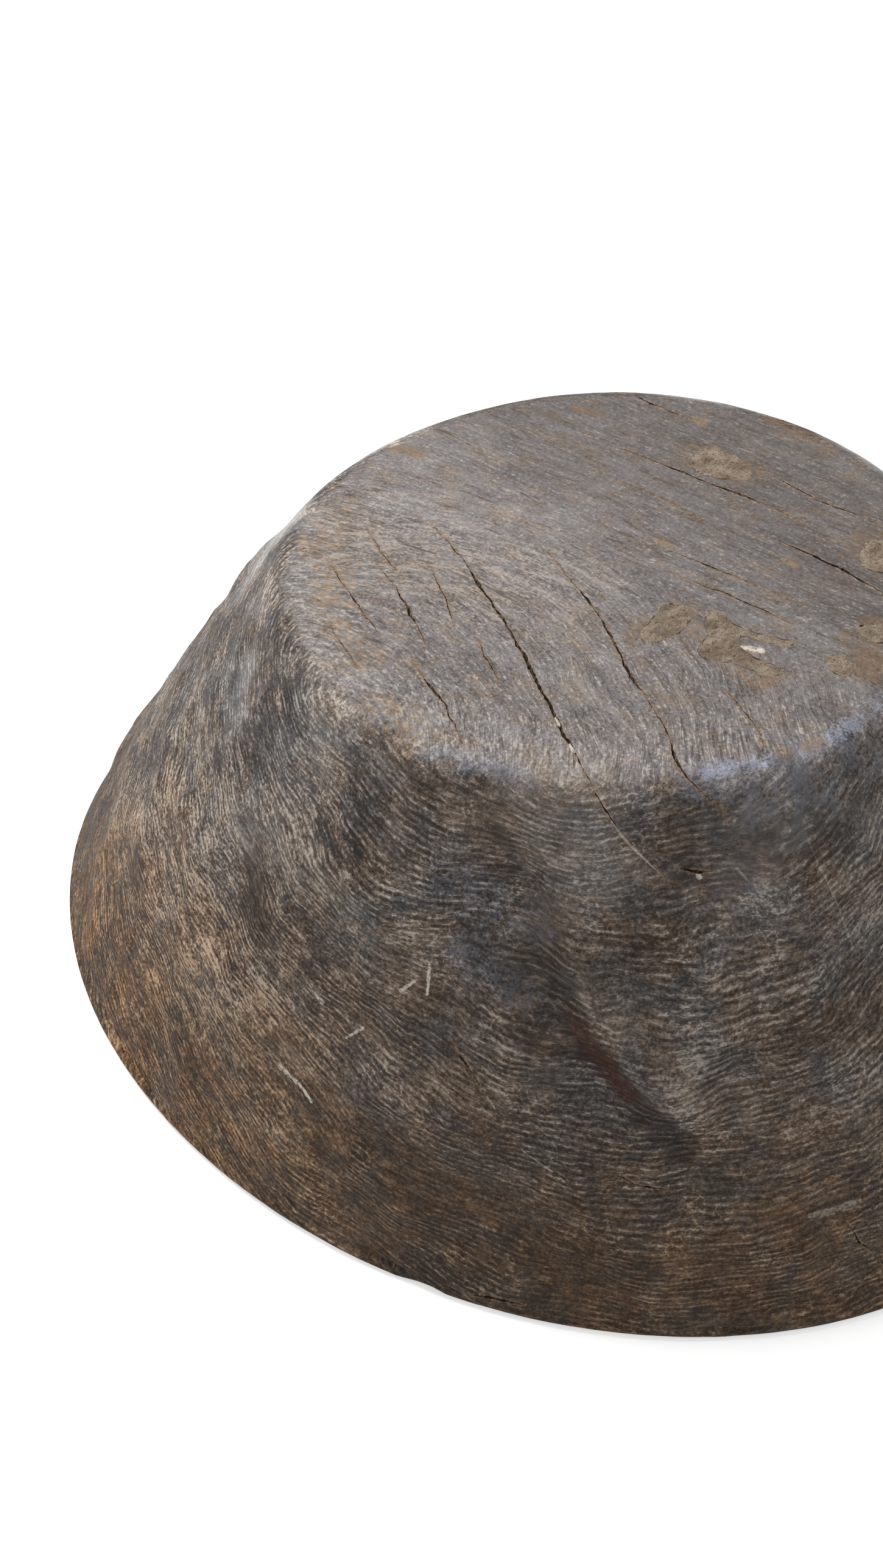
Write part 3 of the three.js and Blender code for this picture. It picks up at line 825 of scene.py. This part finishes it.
# Painted highlight on the ridges' crests, over the pale dust there, and painted shade in the gaps between
# them.
wall_tone = wall_tone + ridge_dust_and_highlight * 0.2 + net * 0.22 - gap_shade * 0.11
wall_tone = wall_tone - span(at_x, -0.02, -0.14, 0.0, 0.035) + span(at_x, 0.1, 0.16, 0.0, 0.055)
wall_tone = wall_tone - span(at_z, 0.08, 0.03, 0.0, 0.105)
low_left = span(at_x, 0.07, 0.0) * span(at_z, 0.13, 0.08) * span(at_y, -0.1, -0.13)
wall_tone = wall_tone + low_left * 0.095
wall_colour = tones(wall_tone, [
    (0.0, (0.018, 0.014, 0.012)), (0.26, (0.052, 0.042, 0.035)), (0.44, (0.108, 0.089, 0.075)),
    (0.6, (0.185, 0.156, 0.133)), (0.76, (0.32, 0.278, 0.24)), (0.94, (0.52, 0.47, 0.41)),
])
wall_warmth = span(noise(place, 0.022, 5.0, 0.7), 0.4, 0.62)
cool_to_warm = blend(wall_warmth, (0.95, 1.0, 1.08), (1.14, 0.98, 0.84))
wall_colour = tint(wall_colour, cool_to_warm, span(wall_tone, 0.78, 0.5, 0.3, 1.0))
wall_colour = tint(wall_colour, (1.12, 1.0, 0.87), low_left)
wall_colour = tint(wall_colour, (1.08, 0.9, 0.7), span(at_z, 0.095, 0.02) * 0.85)

# Foot colour: far streaks run straight, near streaks follow circles about a middle in front of the foot
near_middle, circle_length = (-0.026, -0.165, 0.0), 0.13
middle_x, middle_y, _ = split(vector_calc("SUBTRACT", place, near_middle))
circle_radius = calc("SQRT", middle_x * middle_x + middle_y * middle_y)
circle_run = calc("ARCTAN2", middle_x, middle_y) * circle_length
circle_wave = weigh(circle_radius, (noise(place, 0.045, 1.0), 0.016))
near_half = span(at_y + noise(place, 0.03, 2.0) * 0.05, 0.048, 0.01)


def grain(run, width, detail, roughness):
    """Streaks along the grain of each half of the foot, faded from one to the other."""
    far = noise(place, (run, width, 0.02), detail, roughness, turn=math.radians(3))
    near = texture(vector(circle_run / run, circle_wave / width), detail, roughness)
    return far + (near - far) * near_half


streaks = grain(0.0075, 0.0013, 4.0, 0.62)
fine_streaks = grain(0.0024, 0.00055, 3.0, 0.6)
broad_streaks = grain(0.034, 0.005, 3.0, 0.6)
line_streaks = grain(0.1, 0.006, 2.0, 0.5)

# Pale bands on the left of the foot follow circles about a second middle, near its front edge.
arch_middle, arch_length, arch_run, arch_width = (-0.004, -0.102, 0), 0.07, 0.02, 0.0023
arch_x, arch_y, _ = split(vector_calc("SUBTRACT", place, arch_middle))
arch_radius = calc("SQRT", arch_x * arch_x + arch_y * arch_y)
arch_angle = calc("ARCTAN2", arch_x, arch_y)
arch_wave = weigh(arch_radius, (noise(place, 0.02, 3.0, 0.6), 0.009))
arches = texture(vector(arch_angle * (arch_length / arch_run), arch_wave / arch_width), 4.0, 0.65)
arches = weigh(0.5, (arches, 1.2), (fine_streaks, 0.45), (specks, 0.5))
arches = span(arches, 0.51, 0.6, 0.0, 0.55) * point_value("arch_zone")
front_zone = span(reach_out, 0.74, 0.99) * span(at_y, 0.0, -0.05)
pale_zone = point_value("pale_zone") * span(ragged_noise, 0.3, 0.55, 0.5, 1.0)
foot_tone = weigh(
    0.0, (broad_streaks, 0.36), (streaks, 0.39), (fine_streaks, 0.42), (specks, 0.62), (blotches, 0.32),
    (patches, 0.2),
)
foot_tone = foot_tone * span(at_y, 0.06, -0.02, 0.7, 1.25) + 0.436
foot_tone = foot_tone + pale_zone * 0.06 + front_zone * weigh(0.08, (streaks, 0.5))
foot_tone = foot_tone - span(at_y, -0.01, 0.07, 0.0, 0.09) - span(at_x, 0.02, 0.1, 0.0, 0.025)
foot_colour = tones(foot_tone, [
    (0.0, (0.03, 0.024, 0.02)), (0.25, (0.092, 0.077, 0.068)), (0.46, (0.218, 0.193, 0.179)),
    (0.62, (0.32, 0.286, 0.262)), (0.8, (0.46, 0.42, 0.38)), (1.0, (0.62, 0.575, 0.53)),
])
foot_warmth = span(noise(place, (0.016, 0.009, 0.02), 5.0, 0.72), 0.44, 0.7)
foot_colour = tint(foot_colour, blend(foot_warmth, (0.97, 1.0, 1.05), (1.1, 0.98, 0.85)))
foot_colour = blend(arches, foot_colour, (0.47, 0.41, 0.355))
pale_dashes = weigh(0.5, (streaks, 0.85), (fine_streaks, 0.35), (specks, 0.75))
pale_dashes = span(front_zone * 0.055 + pale_dashes, 0.615, 0.67, 0.0, 0.7)
pale_dashes = pale_dashes * span(at_y, 0.06, 0.0, 0.45, 1.0)
foot_colour = blend(pale_dashes, foot_colour, (0.5, 0.45, 0.4))
hair_line = span(calc("ABSOLUTE", line_streaks - 0.5), 0.01, 0.003)
hair_line = hair_line * span(noise(place, 0.014, 3.0, 0.6), 0.44, 0.54)
foot_colour = blend(hair_line * 0.65, foot_colour, (0.07, 0.043, 0.027))

outside_share = calc("SUBTRACT", 1, hollow)
on_foot_share = span(reach_out + (blotches - 0.5) * 0.1, 1.095, 1.045) * outside_share
colour = blend(on_foot_share, wall_colour, foot_colour)

# Stains, painted sheen and painted shade: each tints what lies under it and lays a little of its own
# colour on it, ragged at the border. The blue-grey ones are painted sheen and a painted highlight, and
# the dark one is partly painted shade in the adze cut.
stain_looks = {
    "dark_stain_and_cut_shade": ((0.46, 0.44, 0.44), (0.034, 0.029, 0.027), 0.25),
    "red_stain": ((0.85, 0.52, 0.44), (0.08, 0.04, 0.03), 0.3),
    "slate_sheen": ((1.2, 1.26, 1.44), (0.24, 0.25, 0.285), 0.28),
    "blue_highlight": ((1.2, 1.28, 1.46), (0.36, 0.39, 0.46), 0.42),
    "rubbed_stain": ((1.3, 1.28, 1.24), (0.15, 0.135, 0.12), 0.25),
    "earth_stain": ((1.04, 0.83, 0.62), (0.215, 0.155, 0.102), 0.3),
}
rough_border = weigh(0.0, (ragged_noise, 1.7), (specks, 2.0))
for label, (stain_tint, own, own_share) in stain_looks.items():
    stain = span(point_value(label) + rough_border, 0.2, 0.8) * span(point_value(label), 0.0, 0.35)
    colour = blend(stain, colour, blend(own_share, tint(colour, stain_tint), own))

# Crumbs and dust caught along the edges of the checks
crumbs = point_value("check_gap") + (specks * -0.003 + 0.0015) + (ragged_noise * -0.004 + 0.002)
crumbs = span(crumbs, 0.0012, 0.0003, 0.0, 0.72) * span(grains, 0.36, 0.5, 0.35, 1.0)
colour = blend(crumbs, colour, tones(specks, [
    (0.3, (0.05, 0.028, 0.016)), (0.48, (0.2, 0.125, 0.07)), (0.62, (0.34, 0.245, 0.165)),
    (0.75, (0.5, 0.43, 0.35)),
]))

# Scars and flecks that show bare pale wood or a crumb of earth, in rows like those of the stains.
mark_kinds = [
    ((0.285, 0.19, 0.11), [
        ((-29, 104), (-27, 104), 4, 0.8), ((-12, 91), (-9, 91), 3.5, 0.8), ((11, 29), (16, 30), 2.2, 0.8),
        ((52, 50), (56, 50), 2.4, 0.8),
    ]),
    ((0.82, 0.74, 0.63), [
        ((50, -137, 116), (52, -140, 106), 0.7, 0.9), ((43.5, -143, 104.5), (47, -140, 109), 0.8, 0.85),
        ((6, -166, 57), (14, -166.5, 54), 1.1, 1.0), ((13, -166, 55), (22, -167, 51), 1.1, 1.0),
        ((14, -154, 90), (17, -154, 88), 1.0, 0.9), ((29, -155, 80), (34, -152, 86), 0.7, 0.8),
        ((129, -43, 155), (142, -42, 135), 0.7, 0.22), ((142, -42, 135), (152, -42, 118), 0.7, 0.18),
        ((174, -85, 41), (184, -70, 43), 1.3, 0.35), ((109.5, -77, 153.5), (110.5, -77, 152.5), 1.2, 1.0),
        ((80, -142, 79), (96, -141, 63), 0.6, 0.5), ((96, -141, 63), (106, -139, 57), 0.6, 0.45),
        ((70, -2), (76, 1), 2.2, 0.8), ((120, -68, 153), (133, -62, 138), 0.6, 0.3),
    ]),
]


def marked(start, end, reach):
    """How near a point is to the line between two places on the bowl, from 0 a reach away to 1."""
    way = end - start
    off = vector_calc("SUBTRACT", place, start)
    share = calc("DIVIDE", vector_calc("DOT_PRODUCT", off, way), way @ way, clamp=True)
    nearest = node("ShaderNodeVectorMath", {0: way, "Scale": share}, operation="SCALE")[0]
    return span(vector_calc("DISTANCE", off, nearest) / reach + ragged, 1.0, 0.3)


for mark_colour, marks in mark_kinds:
    covered = 0.0
    for start, end, reach_mm, strength in marks:
        covered = calc("MAXIMUM", covered, marked(seat(start), seat(end), reach_mm / 1000) * strength)
    covered = covered * calc("MAXIMUM", calc("MAXIMUM", crisp_specks, crisp_fine), 0.25)
    colour = blend(covered, colour, mark_colour)

# The darker, cleaner wood of the hollow
hollow_tone = weigh(
    0.5, (patches, 0.5), (long_dashes, 0.9), (dashes, 0.7), (fine_dashes, 0.5), (specks, 0.3),
    (ridge_part, 0.2),
)
colour = blend(hollow, colour, tones(hollow_tone, [
    (0.0, (0.02, 0.013, 0.009)), (0.3, (0.06, 0.042, 0.03)), (0.5, (0.125, 0.092, 0.068)),
    (0.7, (0.215, 0.17, 0.13)), (1.0, (0.38, 0.32, 0.26)),
]))

# Relief: ridges and dashes on the wall, streaks on the foot, specks everywhere
wall_relief = weigh(0.0, (ridge_part, 0.55), (dashes, 1.8))
foot_relief = weigh(0.0, (streaks, 0.9))
relief = wall_relief + (foot_relief - wall_relief) * on_foot_share
relief = weigh(relief, (specks, 0.9), (grains, 0.2))
bump = node("ShaderNodeBump", {"Height": relief, "Distance": 0.00065, "Strength": 1.0})[0]
polish = span(reach_out, 1.05, 1.12) * span(reach_out, 1.42, 1.16) * span(patches, 0.4, 0.62, 0.1, 0.9)
polish = polish * outside_share
show({
    "Base Color": colour, "Roughness": span(blotches, 0.35, 0.65, 0.62, 0.8), "Normal": bump,
    "Specular IOR Level": 0.2, "Coat Weight": polish, "Coat Roughness": 0.42,
})
bowl.data.materials.clear()
bowl.data.materials.append(wood)


def show_rough(colour, roughness, relief, depth):
    """Ends the tree at hand in a dull, bumpy shader."""
    bump = node("ShaderNodeBump", {"Height": relief, "Distance": depth})[0]
    show({"Base Color": colour, "Roughness": roughness, "Normal": bump, "Specular IOR Level": 0.2})


# Inside the checks the wood is split and never worn. It is near black, partly its own colour and partly
# painted shade in the checks and recesses. Crumbs of earth have lodged in it.
split_wood_and_shade, tree = new_material("split_wood_and_shade")
place, specks, grains = place_and_specks()
fibres = noise(place, (0.009, 0.0007, 0.0007), 3.0, 0.6, turn=math.radians(-20))
colour = blend(span(fibres, 0.35, 0.65), (0.022, 0.014, 0.009), (0.085, 0.058, 0.038))
colour = blend(span(specks, 0.54, 0.64, 0, 0.8), colour, (0.24, 0.165, 0.1))
lodged = span(noise(place, 0.002, 3.0, 0.65), 0.52, 0.57, 0, 0.85)
colour = blend(lodged, colour, (0.36, 0.265, 0.18))
show_rough(colour, 0.85, fibres + specks * 0.6, 0.0005)
bowl.data.materials.append(split_wood_and_shade)
bowl.data.polygons.foreach_set("material_index", in_cut.astype(np.int32))


# Dried earth in the worn hollows of the foot: pressed in wet, shrunk, cracked and pitted. Each fill is a
# lumpy slab trimmed to its hollow's outline. The middle one has shrunk away from the wood all round,
# and the others still grip it.
earth, tree = new_material("dried_earth")
place, specks, grains = place_and_specks()
colour = blend(span(noise(place, 0.007, 4.0, 0.65), 0.36, 0.64), (0.235, 0.172, 0.122), (0.42, 0.33, 0.25))
colour = blend(span(specks, 0.46, 0.37, 0, 0.8), colour, (0.075, 0.052, 0.035))
colour = blend(span(grains, 0.6, 0.72, 0, 0.7), colour, (0.52, 0.46, 0.38))
show_rough(colour, 0.95, specks + grains * 0.5, 0.0016)
shrunk_gap, grip = 0.00015, 0.0003
fill_step, cell_size, highest = 0.0006, 0.0095, 0.1803
fill_floor = recess_floor + 0.0003


def earth_top(places, salt):
    """Height of a fill: a little under the wood round it, less small lumps, crumbs, and cracks where
    two of its cells are as near."""
    near, next_near = np.full(len(places), 9.0), np.full(len(places), 9.0)
    drift = join(cloud(places, 0.004, salt + 3), cloud(places, 0.004, salt + 4)) - 0.5
    scaled = places / cell_size + 0.5 * drift
    for step in np.ndindex(3, 3):
        cell = np.floor(scaled) + np.array(step) - 1
        middle = cell + 0.5 + 0.8 * (join(chance(cell, salt), chance(cell, salt + 1)) - 0.5)
        off = np.linalg.norm(scaled - middle, axis=-1)
        next_near = np.minimum(next_near, np.maximum(near, off))
        near = np.minimum(near, off)
    crack = 1 - smooth(next_near - near, 0.0, 0.08)
    lumps = waves_in(places, (0.0004, 0.006, salt + 5), (0.0009, 0.0019, salt + 6))
    return np.minimum(outside(*over_plan(places))[:, 2] + 0.0008 - lumps - 0.0004 * crack, highest)


for k, (name, outline) in enumerate(outlines.items()):
    outline = outline + inward(outline) * (shrunk_gap if name == "earth_centre" else -grip)
    low, high = outline.min(axis=0) - 0.002, outline.max(axis=0) + 0.002
    sides = [np.linspace(start, end, max(4, int((end - start) / fill_step))) for start, end in zip(low, high)]
    grid = join(*np.meshgrid(*sides, indexing="ij"))
    plan = grid.reshape(-1, 2)
    number = np.arange(len(plan)).reshape(grid.shape[:2])
    top = np.column_stack([plan, earth_top(plan, 130 + 10 * k)])
    base = np.column_stack([plan, np.full(len(plan), fill_floor)])
    loop = np.concatenate([number[:-1, 0], number[-1, :-1], number[:0:-1, -1], number[0, :0:-1]])
    ahead = np.roll(loop, -1)
    skirt = join(loop, loop + len(plan), ahead + len(plan), ahead)
    top_faces = quads_of(number)
    fill = make_mesh(name + "_fill", np.vstack([top, base]), top_faces, top_faces[:, ::-1] + len(plan), skirt)
    fill.data.shade_smooth()
    apply_cut(fill, "fill_outline", [prism(outline, fill_floor - 0.002, bowl_height + 0.004)], "INTERSECT")
    fill.data.set_sharp_from_angle(angle=math.radians(50))
    fill.data.materials.clear()
    fill.data.materials.append(earth)
    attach(fill, "root")
    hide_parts(name)


# Pale grit washed into the longest check: two beads on the foot, and a seam where it runs out over the
# shoulder on to the wall. Each is a lumpy body that lies in the check and just fills it.
grit, tree = new_material("pale_grit")
place, specks, grains = place_and_specks()
colour = blend(span(specks, 0.36, 0.64), (0.33, 0.28, 0.23), (0.66, 0.61, 0.54))
show_rough(colour, 0.9, specks + grains * 0.5, 0.0005)
sides_round = 16
around = np.linspace(0, 2 * math.pi, sides_round, endpoint=False)
route, stops = smooth_route(on_foot(foot_checks[0][0]), 0.0005)
angle, stage = over_plan(route)
grit_pieces = [
    ("grit_upper", 0.63, 0.66, 0.0006, 0.0022, 0.0001),
    ("grit_lower", 0.705, 0.735, 0.0006, 0.0022, 0.0001),
    ("grit_wall", 0.87, 0.97, 0.00042, 0.002, 0.0002),
]
for salt, (name, start, end, wide, deep, proud) in enumerate(grit_pieces):
    chosen = (stops >= start * stops[-1]) & (stops <= end * stops[-1])
    gone = stops[chosen]
    share = (gone - gone[0]) / (gone[-1] - gone[0])
    bead = np.sqrt(np.maximum(0.02, 1 - (2 * share - 1) ** 2))
    seam = 0.35 + 0.65 * smooth(share, 0, 0.2) * smooth(1 - share, 0, 0.5)
    swell = seam if name == "grit_wall" else bead
    swell = swell * (0.75 + 0.6 * cloud(join(gone, 0.0), 0.0018, 170 + salt))
    skin = join(gone[:, None], around[None, :] * 0.0006)
    rough = 1 + 0.5 * (cloud(skin, 0.0007, 180 + salt) - 0.5)
    across = wide * swell[:, None] * np.cos(around) * rough
    lift = np.where(np.sin(around) > 0, proud, deep) * swell[:, None] * np.sin(around) * rough
    points = carry(surface_at(angle[chosen], stage[chosen]), across, lift)
    numbers = np.arange(across.size).reshape(-1, sides_round)
    body = make_mesh(name + "_body", points, quads_between(numbers), [numbers[0], numbers[-1][::-1]])
    body.data.shade_smooth()
    body.data.materials.append(grit)
    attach(body, "root")
    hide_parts(name)


# The stand: a plain pale floor under a plain white surround, with soft light from above and behind on
# the left. The camera looks down at the foot and the near wall from the photograph's angle.
floor_half, floor_level = 9.0, -0.0002
corners = [(x * floor_half, y * floor_half, floor_level) for x, y in ((-1, -1), (1, -1), (1, 1), (-1, 1))]
floor = make_mesh("floor", corners, [(0, 1, 2, 3)])
floor_finish, tree = new_material("pale_floor")
light_path = node("ShaderNodeLightPath")
seen = calc("MAXIMUM", light_path["Is Camera Ray"], light_path["Is Glossy Ray"])
show({
    "Base Color": (0.86, 0.86, 0.86), "Roughness": 0.9, "Specular IOR Level": 0.1,
    "Emission Color": (1, 1, 1), "Emission Strength": seen * 0.55,
})
floor.data.materials.append(floor_finish)

world = bpy.data.worlds.new("white_surround")
bpy.context.scene.world = world
world.use_nodes = True
tree = world.node_tree
tree.nodes.clear()
light_path = node("ShaderNodeLightPath")
seen = calc("MAXIMUM", light_path["Is Camera Ray"], light_path["Is Glossy Ray"])
seen = calc("MAXIMUM", seen, light_path["Is Transmission Ray"])
background = node("ShaderNodeBackground", {"Color": (1, 1, 1), "Strength": seen * 0.58 + 0.42})[0]
node("ShaderNodeOutputWorld", {"Surface": background})

lamp = bpy.data.lights.new("window", "AREA")
lamp.shape, lamp.size, lamp.size_y = "RECTANGLE", 1.1, 1.1
lamp.energy = 31
window = add_object("window", lamp)
window.location = (-0.95, 0.15, 1.45)
window.rotation_euler = (Vector((0, 0, 0.1)) - window.location).to_track_quat("-Z", "Y").to_euler()

camera_data = bpy.data.cameras.new("camera")
camera_data.sensor_fit = "VERTICAL"
camera_data.sensor_height = 36
camera_data.lens = 50.31
camera_data.clip_start, camera_data.clip_end = 0.01, 20
camera = add_object("camera", camera_data)
camera.location = (0.3879, -0.5124, 0.6357)
looking = Vector((-0.5001, 0.5622, -0.6586)).to_track_quat("-Z", "Y").to_matrix()
roll = math.radians(0.34)
camera.rotation_euler = (looking @ Matrix.Rotation(roll, 3, "Z")).to_euler()
bpy.context.scene.camera = camera
bpy.context.scene.view_settings.view_transform = "Standard"
